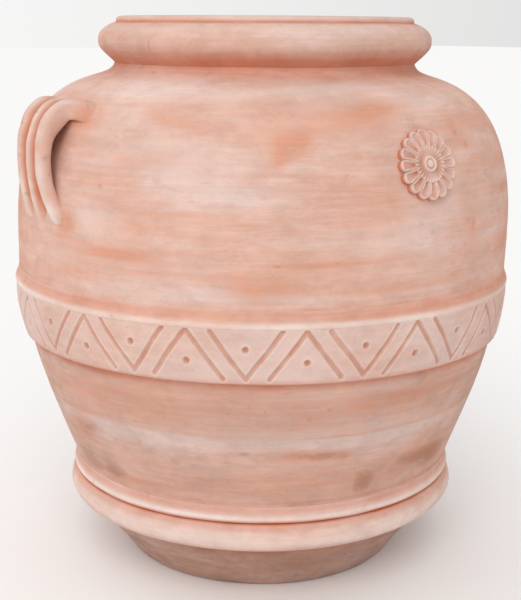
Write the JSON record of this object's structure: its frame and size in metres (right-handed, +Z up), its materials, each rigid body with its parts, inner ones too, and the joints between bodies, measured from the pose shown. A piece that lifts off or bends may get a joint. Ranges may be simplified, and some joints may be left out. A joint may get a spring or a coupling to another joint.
{
  "type": "amphora",
  "caption": "Wide-mouthed terracotta storage jar with a rolled rim, strap handles, pressed rosettes and a belt of incised zigzags and dots.",
  "frame": {"origin": "centre of the flat underside", "axes": "+Z up along the axis of the jar; handles on the X axis, with handle A at -X; rosettes on the Y axis, with rosette A at -Y"},
  "size_m": [0.5798, 0.5558, 0.6],
  "materials": {
    "clay_plain": "matte",
    "clay_pale": "matte",
    "clay_warm": "matte",
    "clay_dark": "matte"
  },
  "bodies": {
    "root": {"floor_disc": "clay_dark", "foot_wall": "clay_dark", "foot_roll": "clay_plain", "foot_fillet": "clay_plain", "lower_wall": "clay_plain", "belt_band": "clay_pale", "belt_ridge": "clay_pale", "shoulder_wall": "clay_plain", "neck_ring": "clay_warm", "rim_roll": "clay_plain", "rim_lip": "clay_pale", "handle_a_rib_far": "clay_warm", "handle_a_rib_middle": "clay_warm", "handle_a_rib_near": "clay_warm", "rosette_a_petals": "clay_plain", "rosette_a_heart": "clay_plain", "handle_b_rib_far": "clay_warm", "handle_b_rib_middle": "clay_warm", "handle_b_rib_near": "clay_warm", "rosette_b_petals": "clay_plain", "rosette_b_heart": "clay_plain"}
  },
  "joints": []
}
